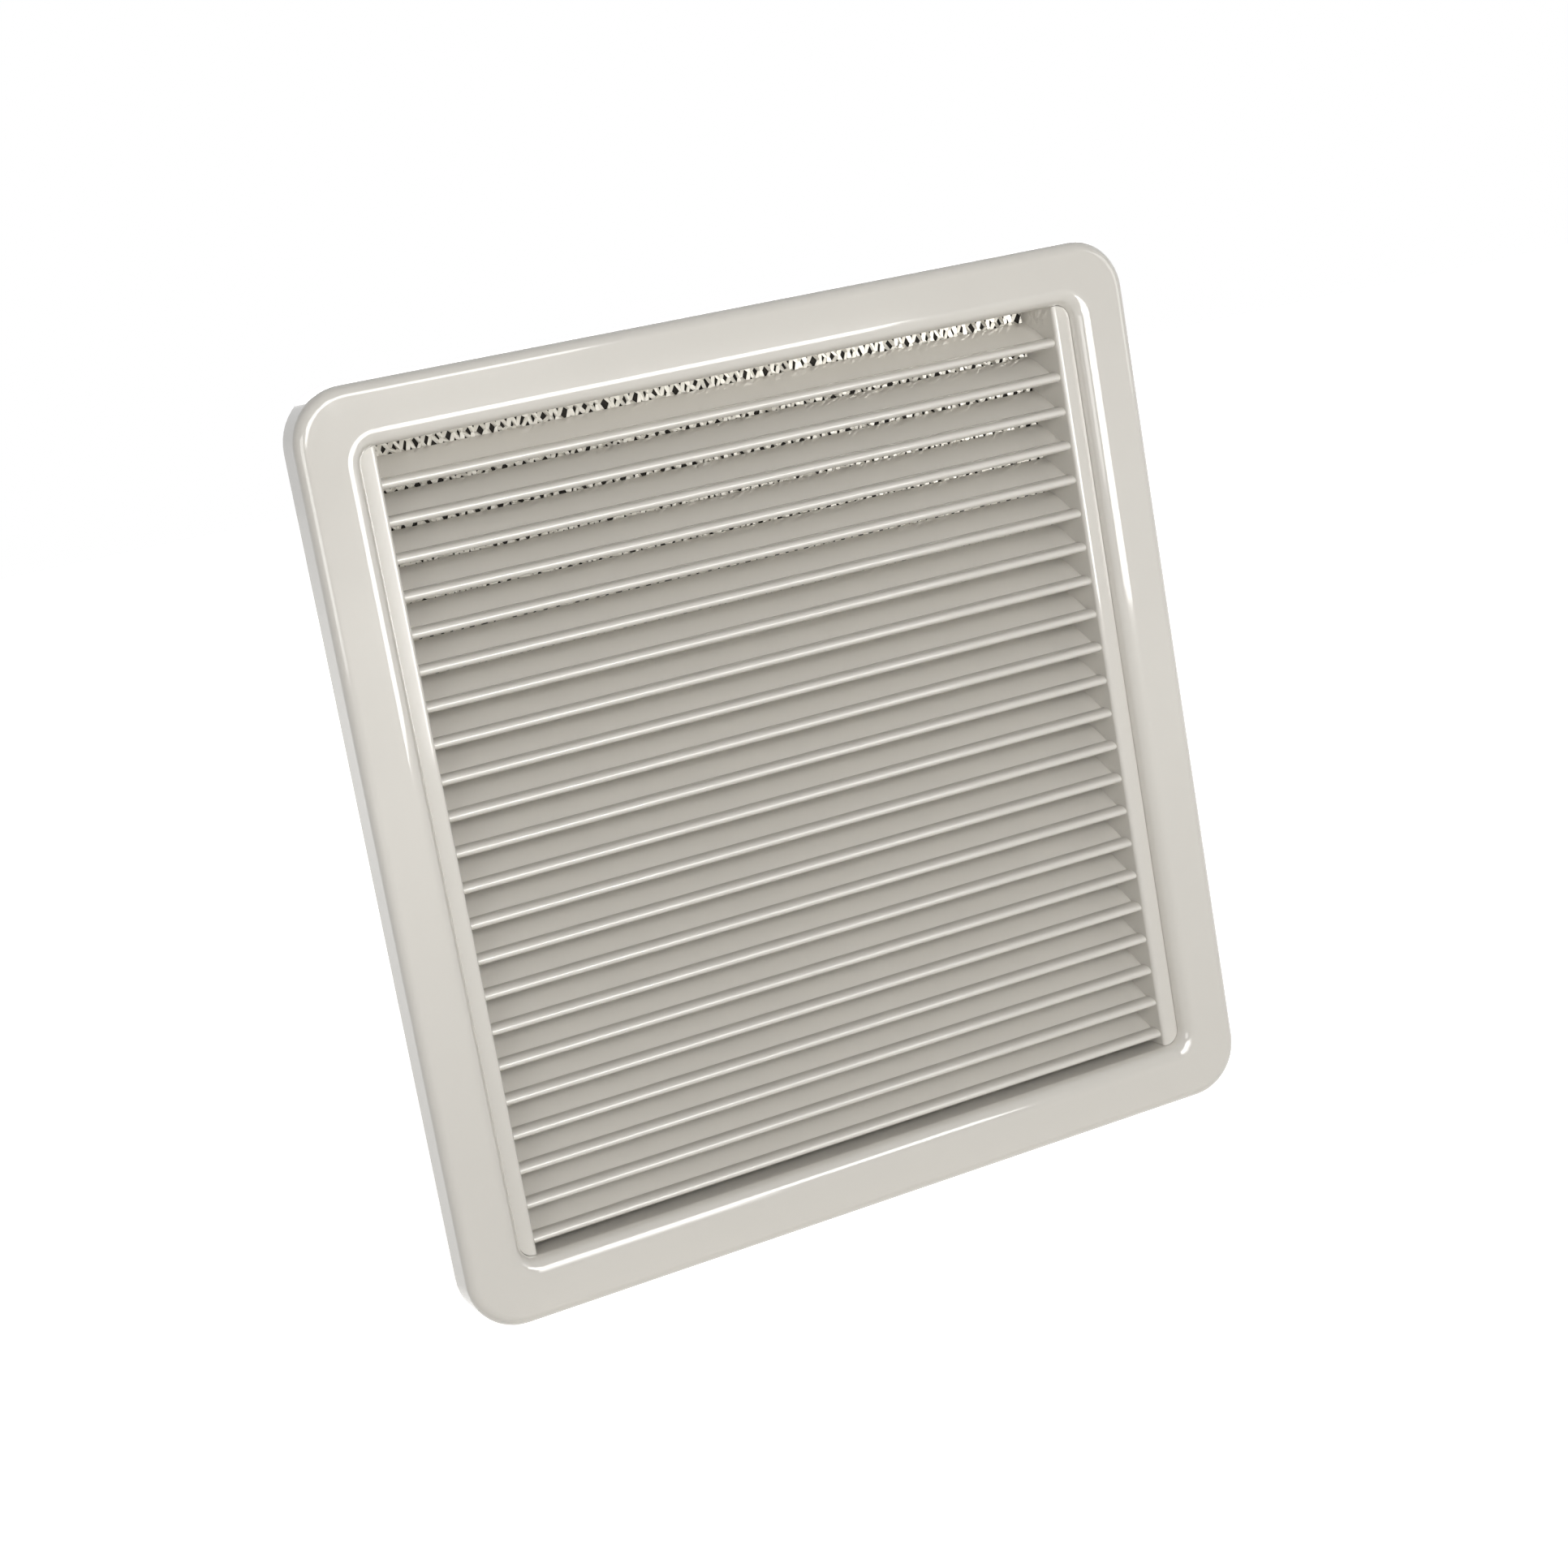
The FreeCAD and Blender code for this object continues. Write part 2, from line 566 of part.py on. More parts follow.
def build_slat(number):
    """One fixed louvre slat. Its ends meet the rails' inner walls and its tenons enter their slots."""
    name = f"slat_{number:02d}"
    body = new_body(name)
    section = new_sketch(body, "section", "YZ_Plane")
    slat_outline(section)
    pad(body, "slat", section, "2 * sizes.rail_inner", both_ways=True)
    tenons = new_sketch(body, "tenon_section", "YZ_Plane")
    tenon_outline(tenons, "tenon", "sizes.tenon_run", "sizes.tenon_rise", "0")
    pad(body, "tenons", tenons, "2 * (sizes.rail_inner + sizes.tenon_length)", both_ways=True)
    bind(body, "Placement.Base.y", "sizes.crease_depth - sizes.strip_front")
    bind(body, "Placement.Base.z", f"sizes.top_crease - {number - 1} * sizes.slat_pitch")
    return body


def build_mesh():
    """The screen behind the slats: one expanded sheet with staggered diamond gaps."""
    body = new_body("mesh_screen")
    outline = new_sketch(body, "mesh_outline", "XZ_Plane", "-sizes.rear_plane")
    centred_rectangle(outline, "mesh", "sizes.mesh_width", "sizes.mesh_height")
    pad(body, "mesh_sheet", outline, "sizes.mesh_thickness", backwards=True)
    gap = new_sketch(body, "gap_outline", "XZ_Plane", "-sizes.rear_plane")
    for name, shift in (("first", 0.5), ("second", 1.0)):
        across = f"-sizes.window_width / 2 + sizes.mesh_strand + {shift} * sizes.cell_width"
        up = f"-sizes.window_height / 2 + sizes.mesh_strand + {shift} * sizes.cell_height"
        diamond(gap, name, across, up)
    cut = pocket(body, "mesh_gap", gap, "sizes.mesh_thickness")
    rows = line_pattern(body, "mesh_gaps", cut, gap, "H_Axis",
                        "(sizes.mesh_columns - 1) * sizes.cell_width", "sizes.mesh_columns")
    rows.Direction2 = (gap, ["V_Axis"])
    bind(rows, "Length2", "(sizes.mesh_rows - 1) * sizes.cell_height")
    bind(rows, "Occurrences2", "sizes.mesh_rows")
    doc.recompute()
    return body


def build_mat():
    """The dark filter mat that lies flat against the back of the mesh."""
    body = new_body("filter_mat")
    outline = new_sketch(body, "mat_outline", "XZ_Plane", "-sizes.rear_plane - sizes.mesh_thickness")
    centred_rectangle(outline, "mat", "sizes.mesh_width", "sizes.mesh_height")
    pad(body, "mat_sheet", outline, "sizes.mat_thickness", backwards=True)
    return body


def diamond(sketch, name, across, up):
    """One diamond gap, a strand's width smaller than its cell."""
    width = "(sizes.cell_width - sizes.mesh_strand)"
    height = "(sizes.cell_height - sizes.mesh_strand)"
    x, z, w, h = worth(across), worth(up), worth(width), worth(height)
    first = len(sketch.Geometry)
    points = [(x - w / 2, z), (x, z - h / 2), (x + w / 2, z), (x, z + h / 2)]
    for turn in range(4):
        a, b = points[turn], points[(turn + 1) % 4]
        line = Part.LineSegment(FreeCAD.Vector(a[0], a[1], 0), FreeCAD.Vector(b[0], b[1], 0))
        sketch.addGeometry(line, False)
    for turn in range(4):
        following = first + (turn + 1) % 4
        sketch.addConstraint(Sketcher.Constraint("Coincident", first + turn, 2, following, 1))
    sketch.addConstraint(Sketcher.Constraint("Horizontal", first, 1, first + 2, 1))
    sketch.addConstraint(Sketcher.Constraint("Vertical", first + 1, 1, first + 3, 1))
    sketch.addConstraint(Sketcher.Constraint("Equal", first, first + 1))
    sketch.addConstraint(Sketcher.Constraint("Equal", first, first + 3))
    tip = Sketcher.Constraint("DistanceX", -1, 1, first, 1, points[0][0])
    dimension(sketch, tip, name + "_left", f"{across} - {width} / 2")
    tall = Sketcher.Constraint("DistanceY", -1, 1, first, 1, z)
    dimension(sketch, tall, name + "_up", up)
    wide = Sketcher.Constraint("DistanceX", first, 1, first + 2, 1, w)
    dimension(sketch, wide, name + "_width", width)
    high = Sketcher.Constraint("DistanceY", first + 1, 1, first + 3, 1, h)
    dimension(sketch, high, name + "_height", height)


def build_retainer():
    """The flat frame that is screwed on behind: it holds the mesh and the mat in a rebate
    and draws the two rails back against the collar."""
    body = new_body("mesh_retainer")
    outline = new_sketch(body, "retainer_outline", "XZ_Plane", "-sizes.rear_plane")
    margin = "2 * sizes.retainer_margin"
    rounded_rectangle(outline, "retainer", f"sizes.opening_width + {margin}",
                      f"sizes.opening_height + {margin}",
                      "sizes.opening_corner + sizes.retainer_margin")
    pad(body, "retainer_plate", outline, "sizes.retainer_thickness", backwards=True)
    windows = new_sketch(body, "window_outline", "XZ_Plane", "-sizes.rear_plane")
    width = "(sizes.window_width - sizes.retainer_bar) / 2"
    height = "(sizes.window_height - sizes.retainer_bar) / 2"
    starts = {"left": "-sizes.window_width / 2", "right": "sizes.retainer_bar / 2"}
    bottoms = {"low": "-sizes.window_height / 2", "high": "sizes.retainer_bar / 2"}
    for side, start in starts.items():
        for level, bottom in bottoms.items():
            rectangle(windows, f"{side}_{level}", start, bottom, width, height)
    pocket(body, "retainer_windows", windows, "sizes.retainer_thickness")
    rebate = new_sketch(body, "rebate_outline", "XZ_Plane", "-sizes.rear_plane")
    centred_rectangle(rebate, "rebate", "(sizes.mesh_width + 2 * sizes.mesh_fit)",
                      "(sizes.mesh_height + 2 * sizes.mesh_fit)")
    pocket(body, "mesh_rebate", rebate, "sizes.mesh_thickness + sizes.mat_thickness")
    holes = new_sketch(body, "hole_outline", "XZ_Plane", "-sizes.rear_plane")
    for name, across, up in screw_places():
        circle(holes, name, across, up, "sizes.screw_radius")
    pocket(body, "screw_holes", holes, "sizes.retainer_thickness")
    return body


def screw_places():
    """The name and place of every retainer screw: four in the collar's bosses, two in each rail."""
    places = []
    for name, x_sign, z_sign in CORNERS:
        places.append(("boss_" + name, f"{x_sign} * sizes.boss_spacing / 2", boss_height(z_sign)))
    for side, sign in (("left", -1), ("right", 1)):
        for name, up in RAIL_SCREWS:
            places.append((f"{side}_rail_{name}", f"{sign} * {RAIL_SCREW_ACROSS}", up))
    return places


def build_screws():
    """The retainer's hexagon-head screws, driven in from behind."""
    backwards = FreeCAD.Rotation(FreeCAD.Vector(1, 0, 0), -90)
    seat = "(sizes.rear_plane + sizes.retainer_thickness)"
    screws = []
    for name, across, up in screw_places():
        shank = doc.addObject("Part::Cylinder", name + "_shank")
        bind(shank, "Radius", "sizes.screw_radius")
        bind(shank, "Height", "sizes.screw_length")
        head = doc.addObject("Part::Prism", name + "_head")
        head.Polygon = HEXAGON_SIDES
        bind(head, "Circumradius", "sizes.head_radius")
        bind(head, "Height", "sizes.head_height")
        for part, place in ((shank, f"{seat} - sizes.screw_length"), (head, seat)):
            part.Placement = FreeCAD.Placement(FreeCAD.Vector(0, 0, 0), backwards)
            bind(part, "Placement.Base.x", across)
            bind(part, "Placement.Base.y", place)
            bind(part, "Placement.Base.z", up)
        screw = doc.addObject("Part::Fuse", name + "_screw")
        screw.Base = shank
        screw.Tool = head
        screws.append(screw)
    group = doc.addObject("Part::Compound", "retainer_screws")
    group.Label = "retainer_screws"
    group.Links = screws
    doc.recompute()
    return group


def mirror_rail(rail):
    """The left rail is the right rail's mirror image."""
    left = doc.addObject("Part::Mirroring", "left_side_rail")
    left.Label = "left_side_rail"
    left.Source = rail
    left.Normal = FreeCAD.Vector(1, 0, 0)
    doc.recompute()
    return left


def check_and_export(nodes):
    """Stops if any object failed or any sub-part's shape is bad, then writes one STEP file each."""
    doc.recompute()
    for item in doc.Objects:
        if "Invalid" in item.State or "Error" in item.State:
            raise RuntimeError(f"{item.Name} failed: {item.State}")
    for node in nodes:
        if node.Shape.isNull() or not node.Shape.isValid() or not node.Shape.Solids:
            raise RuntimeError(node.Label + " has no valid shape")
    os.makedirs("parts", exist_ok=True)
    for node in nodes:
        node.Shape.exportStep(f"parts/{node.Label}.step")
        print(node.Label, len(node.Shape.Solids), "solid", round(node.Shape.Volume), "mm3")


fill_sheet()
frame = build_frame()
right_rail = build_right_rail()
left_rail = mirror_rail(right_rail)
slats = [build_slat(number) for number in range(1, int(size("slat_count")) + 1)]
mesh = build_mesh()
mat = build_mat()
retainer = build_retainer()
screws = build_screws()
check_and_export([frame, left_rail, right_rail, *slats, mesh, mat, retainer, screws])
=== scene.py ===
import math
import random

import bmesh
import bpy
from mathutils import Euler, Matrix, Vector


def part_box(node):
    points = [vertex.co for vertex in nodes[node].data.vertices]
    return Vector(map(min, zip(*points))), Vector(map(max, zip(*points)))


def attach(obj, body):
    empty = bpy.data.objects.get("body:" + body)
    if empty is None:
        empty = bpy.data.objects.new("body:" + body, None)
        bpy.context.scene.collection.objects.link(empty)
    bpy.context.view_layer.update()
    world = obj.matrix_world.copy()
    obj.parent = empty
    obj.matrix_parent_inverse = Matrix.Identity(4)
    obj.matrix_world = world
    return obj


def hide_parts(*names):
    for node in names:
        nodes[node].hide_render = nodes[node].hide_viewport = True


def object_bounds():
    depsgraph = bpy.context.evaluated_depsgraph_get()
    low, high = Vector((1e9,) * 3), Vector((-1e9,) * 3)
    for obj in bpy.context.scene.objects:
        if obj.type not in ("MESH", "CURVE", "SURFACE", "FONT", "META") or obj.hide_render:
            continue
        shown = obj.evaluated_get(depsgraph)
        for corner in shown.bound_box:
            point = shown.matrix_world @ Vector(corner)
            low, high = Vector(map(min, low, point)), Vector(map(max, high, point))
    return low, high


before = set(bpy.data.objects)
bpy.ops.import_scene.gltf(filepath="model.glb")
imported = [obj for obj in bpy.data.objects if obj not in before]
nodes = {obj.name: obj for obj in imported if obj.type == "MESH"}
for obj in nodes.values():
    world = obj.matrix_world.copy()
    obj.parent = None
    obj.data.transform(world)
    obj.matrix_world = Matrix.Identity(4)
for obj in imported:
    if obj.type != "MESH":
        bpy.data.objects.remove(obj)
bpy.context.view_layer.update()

MM = 0.001


# Frame
# The one-piece bezel with its rounded lip, injection moulded in glossy warm-white ABS.
# The helpers for plastic are defined here, and the rails, slats and retainer use them too.

CLOUD_MM = 90.0
HAZE_MM = 25.0
GLOSS_SPREAD = 0.2
ORANGE_PEEL_MM = 3.0
PEEL_STRENGTH = 0.03
PEEL_DEPTH = 0.05 * MM
PLASTIC_IOR = 1.5
SKIN_ROUGHNESS = 0.05
WELD_REACH = 0.002 * MM
SHARP_FROM = math.radians(30)
EDGE_SEGMENTS = 2


def linear(code):
    """The linear colour of an sRGB hex code."""
    values = []
    for start in (0, 2, 4):
        value = int(code[start:start + 2], 16) / 255
        values.append(value / 12.92 if value <= 0.04045 else ((value + 0.055) / 1.055) ** 2.4)
    return (*values, 1.0)


def scale_for(feature_mm):
    """The texture scale, on object coordinates in metres, of a feature this many mm long."""
    return 1000 / feature_mm


def add(tree, kind, settings=None, **inputs):
    """Adds one node. An input is a constant, or another node's output to link."""
    node = tree.nodes.new(kind)
    for name, value in (settings or {}).items():
        setattr(node, name, value)
    for name, value in inputs.items():
        socket = node.inputs[name.replace("_", " ")]
        if isinstance(value, bpy.types.NodeSocket):
            tree.links.new(value, socket)
        else:
            socket.default_value = value
    return node


def new_material(name):
    """An empty material with its output node, and the object coordinates for its patterns."""
    material = bpy.data.materials.new(name)
    material.use_nodes = True
    tree = material.node_tree
    tree.nodes.clear()
    output = tree.nodes.new("ShaderNodeOutputMaterial")
    coordinates = tree.nodes.new("ShaderNodeTexCoord")
    return material, tree, output, coordinates.outputs["Object"]


def make_plastic(name, light, dark, roughness, polish):
    """Moulded plastic: a faint cloudiness, a little uneven gloss, orange peel and a polished skin."""
    material, tree, output, place = new_material(name)
    cloud = add(tree, "ShaderNodeTexNoise", Vector=place, Scale=scale_for(CLOUD_MM), Detail=3.0)
    tint = add(tree, "ShaderNodeValToRGB", Fac=cloud.outputs["Fac"])
    tint.color_ramp.elements[0].color = linear(light)
    tint.color_ramp.elements[1].color = linear(dark)
    haze = add(tree, "ShaderNodeTexNoise", Vector=place, Scale=scale_for(HAZE_MM), Detail=4.0)
    gloss = add(tree, "ShaderNodeMapRange", Value=haze.outputs["Fac"],
                To_Min=roughness * (1 - GLOSS_SPREAD), To_Max=roughness * (1 + GLOSS_SPREAD))
    peel = add(tree, "ShaderNodeTexNoise", Vector=place, Scale=scale_for(ORANGE_PEEL_MM), Detail=2.0)
    bump = add(tree, "ShaderNodeBump", Height=peel.outputs["Fac"], Strength=PEEL_STRENGTH,
               Distance=PEEL_DEPTH)
    surface = add(tree, "ShaderNodeBsdfPrincipled", Base_Color=tint.outputs["Color"],
                  Roughness=gloss.outputs["Result"], Normal=bump.outputs["Normal"], IOR=PLASTIC_IOR,
                  Coat_Weight=polish, Coat_Roughness=SKIN_ROUGHNESS)
    tree.links.new(surface.outputs["BSDF"], output.inputs["Surface"])
    return material


def dress(thing, material, edge_mm):
    """Gives an object its material and rounds its sharp edges by this many mm."""
    mesh = thing.data
    mesh.materials.clear()
    mesh.materials.append(material)
    for face in mesh.polygons:
        face.use_smooth = True
    weld = thing.modifiers.new("weld", "WELD")
    weld.merge_threshold = WELD_REACH
    bevel = thing.modifiers.new("edges", "BEVEL")
    bevel.width = edge_mm * MM
    bevel.segments = EDGE_SEGMENTS
    bevel.limit_method = "ANGLE"
    bevel.angle_limit = SHARP_FROM
    bevel.harden_normals = True
    normals = thing.modifiers.new("normals", "WEIGHTED_NORMAL")
    normals.keep_sharp = True


# the polished mould leaves a clear, sharp skin on it that draws thin white highlights
bezel_plastic = make_plastic("moulded ABS, frame", "DDDAD4", "DAD7D1", roughness=0.12, polish=0.8)
dress(nodes["frame"], bezel_plastic, edge_mm=0.3)

# Side rails
# The flat strips beside the slats, in the same plastic as the frame. Each slides into
# the collar and leaves a fine dark seam round itself.

for side in ("left_side_rail", "right_side_rail"):
    dress(nodes[side], bezel_plastic, edge_mm=0.15)

# Slats
# Twenty-two fixed louvres with bullet noses, extruded in a duller grade. Their plastic is painted a
# little lighter than the frame's, as painted light on the blades that lie in shade between the noses.
# Their edges are sharp but for a hairline of softening.

SLAT_COUNT = 22

# the duller skin spreads the highlight along each nose and dims it a little
# its base colour is lighter than the frame's: painted light that brightens the shaded blades
slat_plastic = make_plastic("extruded ABS, slats", "E4E1DB", "E1DED8", roughness=0.16, polish=0.6)
for number in range(1, SLAT_COUNT + 1):
    dress(nodes[f"slat_{number:02d}"], slat_plastic, edge_mm=0.06)

# Mesh screen
# Expanded aluminium: one sheet slit in staggered rows and pulled open, so that its flat
# strands lean out of the sheet's plane and its gaps differ in width.

CELL_WIDE = 4.6 * MM
CELL_TALL = 7.0 * MM
STRAND = 1.7 * MM
STRAND_THICK = 0.4 * MM
LEAN = 0.35 * MM
PULL_ACROSS = 1.0 * MM
PULL_UP = 1.6 * MM
PULL_SEED = 7
GRAIN_SPREAD = 0.1
UPRIGHT = math.radians(90)


def make_object(name, mesh, material):
    """A shown object from a bmesh."""
    data = bpy.data.meshes.new(name)
    mesh.to_mesh(data)
    mesh.free()
    data.materials.append(material)
    thing = bpy.data.objects.new(name, data)
    bpy.context.scene.collection.objects.link(thing)
    return thing


def make_metal(name, colour, metallic, roughness, grain_mm):
    """Bare metal, its gloss a little uneven. The real grain is finer and is drawn as coarse as shows."""
    material, tree, output, place = new_material(name)
    noise = add(tree, "ShaderNodeTexNoise", Vector=place, Scale=scale_for(grain_mm), Detail=4.0)
    gloss = add(tree, "ShaderNodeMapRange", Value=noise.outputs["Fac"],
                To_Min=roughness - GRAIN_SPREAD, To_Max=roughness + GRAIN_SPREAD)
    surface = add(tree, "ShaderNodeBsdfPrincipled", Base_Color=linear(colour), Metallic=metallic,
                  Roughness=gloss.outputs["Result"])
    tree.links.new(surface.outputs["BSDF"], output.inputs["Surface"])
    return material


low, high = (Vector(corner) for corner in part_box("mesh_screen"))
centre = (low + high) / 2
spread = high - low
columns = round(spread.x / CELL_WIDE)
rows = round(spread.z / CELL_TALL)

# a grid one metre square, scaled to the sheet, stood up and moved to its place
screen = bmesh.new()
bmesh.ops.create_grid(screen, x_segments=columns, y_segments=rows, size=0.5)
bmesh.ops.scale(screen, vec=(spread.x, spread.z, 1.0), verts=screen.verts)
bmesh.ops.rotate(screen, matrix=Matrix.Rotation(UPRIGHT, 3, "X"), verts=screen.verts)
bmesh.ops.translate(screen, vec=centre, verts=screen.verts)

# each cell is split to its middle and its own sides dissolved, which leaves staggered diamonds
cell_sides = [edge for edge in screen.edges if not edge.is_boundary]
bmesh.ops.poke(screen, faces=screen.faces[:])
bmesh.ops.dissolve_edges(screen, edges=cell_sides, use_verts=False)
pull = random.Random(PULL_SEED)
for vert in screen.verts:
    if not vert.is_boundary:
        vert.co.x += pull.uniform(-PULL_ACROSS, PULL_ACROSS)
        vert.co.z += pull.uniform(-PULL_UP, PULL_UP)

# the strands stay round each gap, and their two sides lean to the front and to the back
gaps = screen.faces[:]
bmesh.ops.inset_individual(screen, faces=gaps, thickness=STRAND / 2, use_even_offset=True)
for gap in gaps:
    middle = gap.calc_center_median()
    for vert in gap.verts:
        vert.co.y += LEAN if vert.co.x > middle.x else -LEAN
bmesh.ops.delete(screen, geom=gaps, context="FACES_ONLY")

# mill-finish aluminium gone dull: pale, and without a clear reflection
aluminium = make_metal("expanded aluminium", "D6D3CB", metallic=0.6, roughness=0.45, grain_mm=4)
mesh_screen = make_object("expanded_mesh", screen, aluminium)
sheet = mesh_screen.modifiers.new("sheet", "SOLIDIFY")
sheet.thickness = STRAND_THICK
sheet.offset = 0
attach(mesh_screen, "root")
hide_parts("mesh_screen")

# Filter mat
# A pad of matted fibres, clamped right behind the mesh by the retainer. Its near-black colour is painted
# shade:
# it stands for the shade deep behind the mesh, and is what shows as the mesh's dark gaps.

FIBRE_MM = 1.2
FIBRE_DEPTH = 0.5 * MM
FIBRE_DARKEST_UP_TO = 0.35
FIBRE_LIGHTEST_FROM = 0.7


def make_shade_mat(name):
    """Matted fibres, painted near black as the shade behind the mesh. Real ones are far finer, and these
    tufts are as coarse as shows.
    """
    material, tree, output, place = new_material(name)
    fibres = add(tree, "ShaderNodeTexNoise", Vector=place, Scale=scale_for(FIBRE_MM), Detail=8.0,
                 Roughness=0.7)
    shade = add(tree, "ShaderNodeValToRGB", Fac=fibres.outputs["Fac"])
    shade.color_ramp.elements[0].position = FIBRE_DARKEST_UP_TO
    shade.color_ramp.elements[0].color = linear("14110E")
    shade.color_ramp.elements[1].position = FIBRE_LIGHTEST_FROM
    shade.color_ramp.elements[1].color = linear("332D27")
    bump = add(tree, "ShaderNodeBump", Height=fibres.outputs["Fac"], Strength=0.8,
               Distance=FIBRE_DEPTH)
    surface = add(tree, "ShaderNodeBsdfPrincipled", Base_Color=shade.outputs["Color"],
                  Roughness=0.95, Normal=bump.outputs["Normal"])
    tree.links.new(surface.outputs["BSDF"], output.inputs["Surface"])
    return material


# matt and painted nearly black as shade, with a faint mottle from its fibres
fibre_shade = make_shade_mat("filter fibre")
dress(nodes["filter_mat"], fibre_shade, edge_mm=0.3)

# Retainer
# The flat rear frame with its cross of bars, moulded in the same colour. It faces the
# wall, so its mould is left unpolished and its surface is matt.

retainer_plastic = make_plastic("moulded ABS, retainer", "D2CFC7", "CBC8C0", roughness=0.45, polish=0.0)
dress(nodes["mesh_retainer"], retainer_plastic, edge_mm=0.2)

# Retainer screws
# Eight hexagon-head screws in zinc-plated steel, driven in from behind through the
# retainer. The plating gives them a soft grey shine.

zinc = make_metal("zinc-plated steel", "A9A9A4", metallic=1.0, roughness=0.35, grain_mm=2)
dress(nodes["retainer_screws"], zinc, edge_mm=0.12)

# Stage
# A plain pale floor and backdrop that the camera and reflections see as white. Round the
# part the floor is lifted less, so that it keeps the part's soft shadow.

PAINT = "E6E4DF"
STAGE_HALF = 4.0
LIFT_NEAR, LIFT_FAR = 0.8, 1.0
NEAR_RADIUS, FAR_RADIUS = 0.3, 1.3


def make_rays(tree):
    """One for the rays of the camera, of mirrors and of glass, none for the rest."""
    rays = tree.nodes.new("ShaderNodeLightPath")
    bent = add(tree, "ShaderNodeMath", {"operation": "MAXIMUM"})
    tree.links.new(rays.outputs["Is Glossy Ray"], bent.inputs[0])
    tree.links.new(rays.outputs["Is Transmission Ray"], bent.inputs[1])
    seen = add(tree, "ShaderNodeMath", {"operation": "MAXIMUM"})
    tree.links.new(rays.outputs["Is Camera Ray"], seen.inputs[0])
    tree.links.new(bent.outputs["Value"], seen.inputs[1])
    return seen.outputs["Value"]


def make_floor_paint():
    """Pale matt paint under a white lift that grows with the distance from the part."""
    material, tree, output, place = new_material("floor paint")
    distance = add(tree, "ShaderNodeVectorMath", {"operation": "LENGTH"}, Vector=place)
    lift = add(tree, "ShaderNodeMapRange", Value=distance.outputs["Value"], From_Min=NEAR_RADIUS,
               From_Max=FAR_RADIUS, To_Min=LIFT_NEAR, To_Max=LIFT_FAR)
    seen_lift = add(tree, "ShaderNodeMath", {"operation": "MULTIPLY"})
    tree.links.new(lift.outputs["Result"], seen_lift.inputs[0])
    tree.links.new(make_rays(tree), seen_lift.inputs[1])
    paint = add(tree, "ShaderNodeBsdfDiffuse", Color=linear(PAINT))
    white = add(tree, "ShaderNodeEmission", Strength=seen_lift.outputs["Value"])
    both = tree.nodes.new("ShaderNodeAddShader")
    tree.links.new(paint.outputs["BSDF"], both.inputs[0])
    tree.links.new(white.outputs["Emission"], both.inputs[1])
    tree.links.new(both.outputs["Shader"], output.inputs["Surface"])
    return material


def make_backdrop_paint():
    """Pale matt paint that camera and mirror rays see as plain white."""
    material, tree, output, _ = new_material("backdrop paint")
    paint = add(tree, "ShaderNodeBsdfDiffuse", Color=linear(PAINT))
    white = tree.nodes.new("ShaderNodeEmission")
    choice = add(tree, "ShaderNodeMixShader", Fac=make_rays(tree))
    tree.links.new(paint.outputs["BSDF"], choice.inputs[1])
    tree.links.new(white.outputs["Emission"], choice.inputs[2])
    tree.links.new(choice.outputs["Shader"], output.inputs["Surface"])
    return material


def make_plane(name, middle, turn, material):
    """A large square sheet of the stage."""
    mesh = bmesh.new()
    bmesh.ops.create_grid(mesh, x_segments=1, y_segments=1, size=STAGE_HALF)
    bmesh.ops.rotate(mesh, matrix=Matrix.Rotation(turn, 3, "X"), verts=mesh.verts)
    bmesh.ops.translate(mesh, vec=middle, verts=mesh.verts)
    return make_object(name, mesh, material)


floor_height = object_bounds()[0][2]
floor = make_plane("floor", (0, 0, floor_height), 0, make_floor_paint())
backdrop = make_plane("backdrop", (0, STAGE_HALF, floor_height + STAGE_HALF), UPRIGHT,
                      make_backdrop_paint())

# Light
# Broad soft lights in front and at the sides, raised about as far as the camera, so that the
# noses mostly hide their own shadows, and one behind for the back. The near light is only
# reflected: it draws the highlights of the lip and the noses.

WHITE = "FFFEFC"
SURROUND_LIT = 0.13
SURROUND_SEEN = 0.9
MIDDLE = (0, 0, 0)

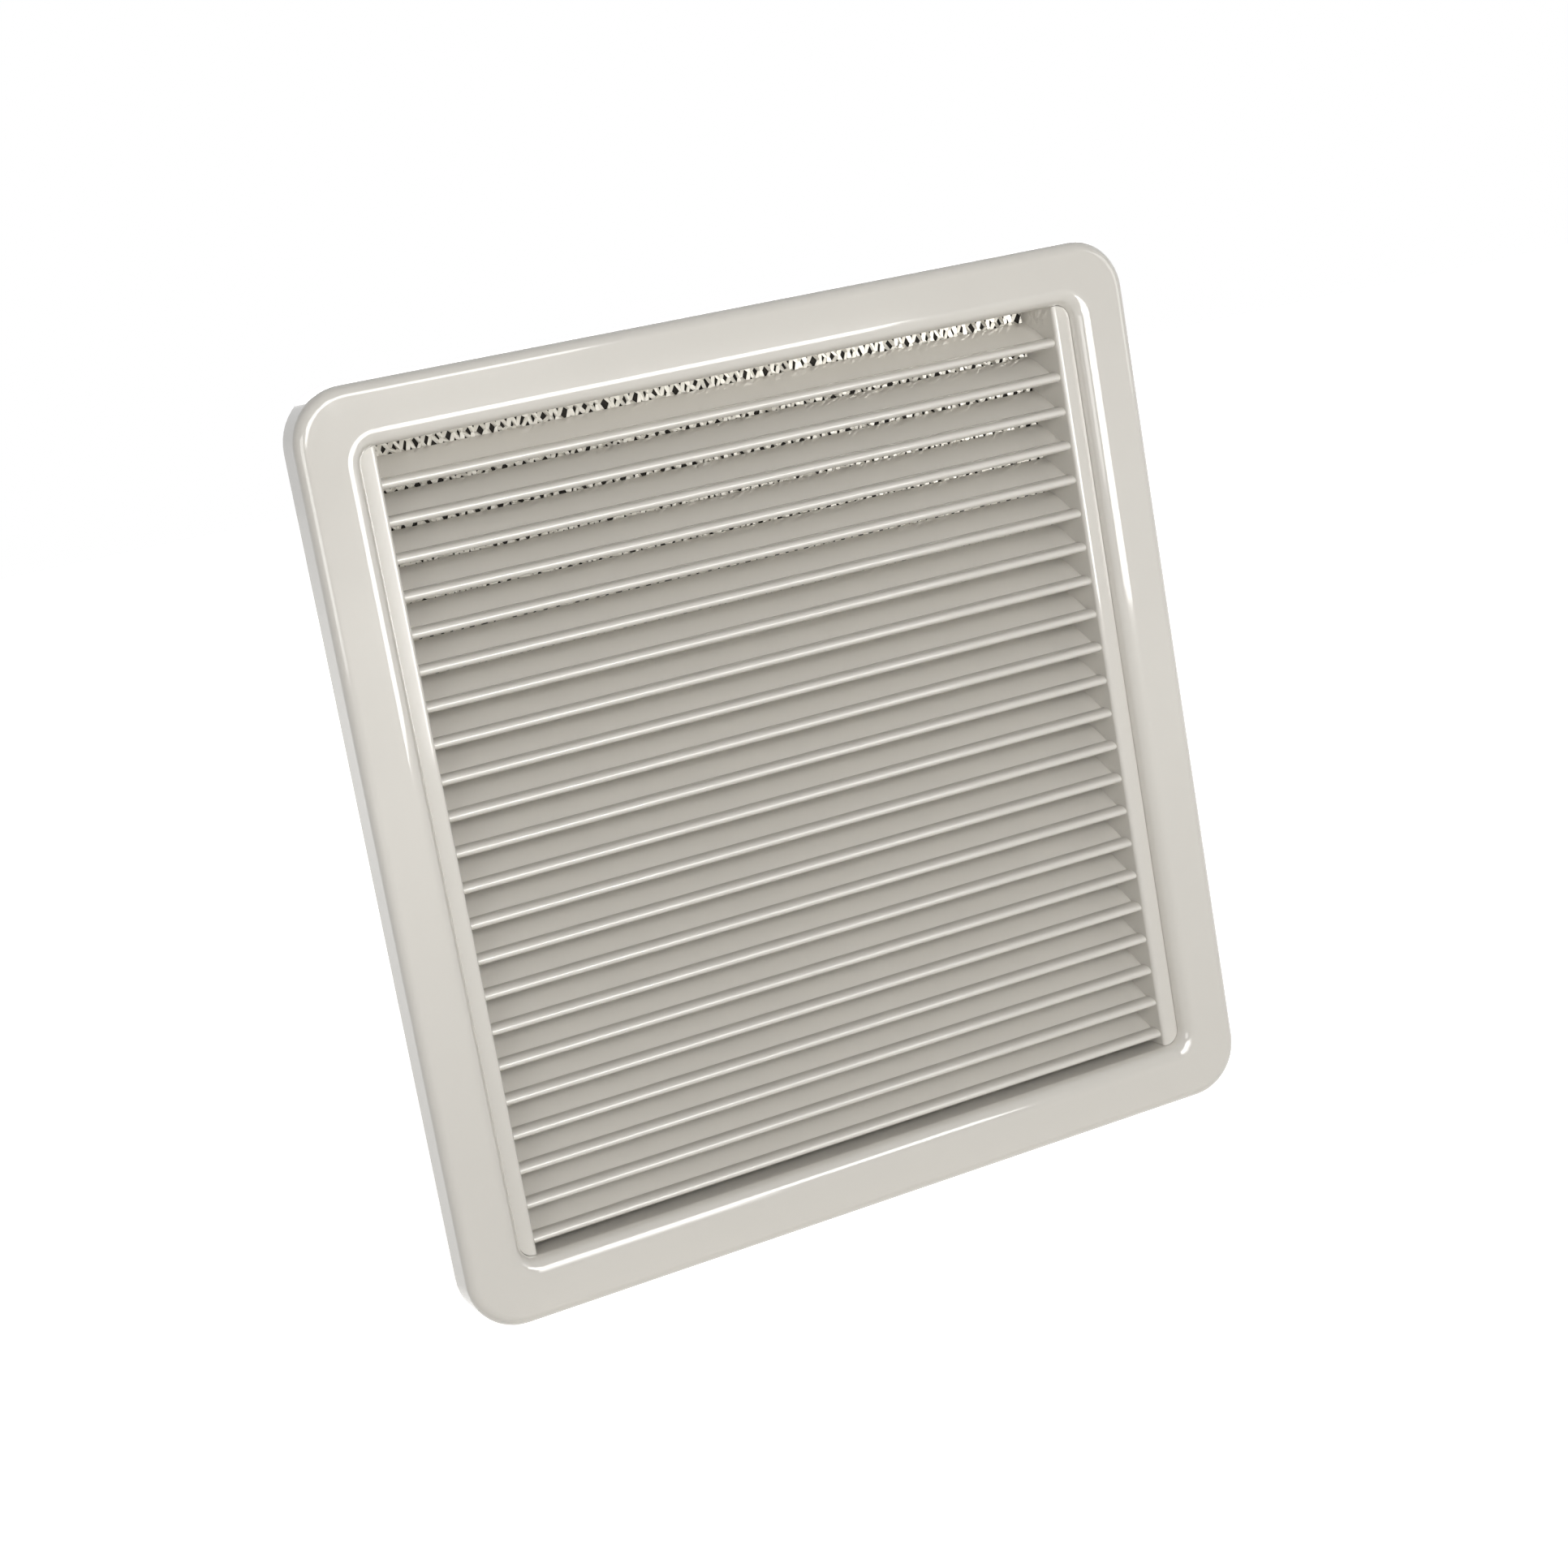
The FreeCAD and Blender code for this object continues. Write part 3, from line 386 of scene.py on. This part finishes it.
world = bpy.context.scene.world or bpy.data.worlds.new("surround")
bpy.context.scene.world = world
world.use_nodes = True
sky = world.node_tree
surround = sky.nodes.get("Background") or sky.nodes.new("ShaderNodeBackground")
surround.inputs["Color"].default_value = linear(WHITE)
strength = add(sky, "ShaderNodeMapRange", Value=make_rays(sky), To_Min=SURROUND_LIT,
               To_Max=SURROUND_SEEN)
sky.links.new(strength.outputs["Result"], surround.inputs["Strength"])


def area_light(name, place, aim, width, height, watts):
    """A rectangular soft light at a place, turned towards a point."""
    data = bpy.data.lights.new(name, "AREA")
    data.shape = "RECTANGLE"
    data.size = width
    data.size_y = height
    data.energy = watts
    data.color = linear(WHITE)[:3]
    lamp = bpy.data.objects.new(name, data)
    lamp.location = place
    lamp.rotation_euler = (Vector(aim) - Vector(place)).to_track_quat("-Z", "Y").to_euler()
    lamp.visible_camera = False
    bpy.context.scene.collection.objects.link(lamp)
    return lamp


area_light("far light", (0, -2.6, 0.6), MIDDLE, width=2.0, height=1.0, watts=21)
area_light("front light", (0, -1.3, 0.38), MIDDLE, width=0.9, height=0.4, watts=3.7)
area_light("left light", (-1.1, -0.9, 0.2), MIDDLE, width=0.6, height=0.6, watts=3.3)
area_light("right light", (1.2, -0.8, 0.3), MIDDLE, width=0.6, height=0.6, watts=2)
area_light("back light", (0.8, 2.2, 1.0), MIDDLE, width=2.0, height=1.5, watts=25)
near_light = area_light("near light", (0.11, -0.36, 0.062), (0.11, 0, 0.062),
                        width=0.31, height=0.165, watts=1.2)
near_light.visible_diffuse = False

# Camera
# The photograph's own viewpoint, solved from the slats: in front at the left and a little
# above the middle, with a 67 mm lens on a 36 mm square frame.

LENS_MM = 67.0
SENSOR_MM = 36.0
CAMERA_PLACE = (-0.50085, -1.10389, 0.24057)
TILT, ROLL, HEADING = 78.286, 9.841, -26.252

camera_data = bpy.data.cameras.new("camera")
camera_data.lens = LENS_MM
camera_data.sensor_width = SENSOR_MM
camera = bpy.data.objects.new("camera", camera_data)
camera.location = CAMERA_PLACE
camera.rotation_euler = Euler([math.radians(angle) for angle in (TILT, ROLL, HEADING)])
bpy.context.scene.collection.objects.link(camera)
bpy.context.scene.camera = camera
bpy.context.scene.view_settings.view_transform = "Standard"
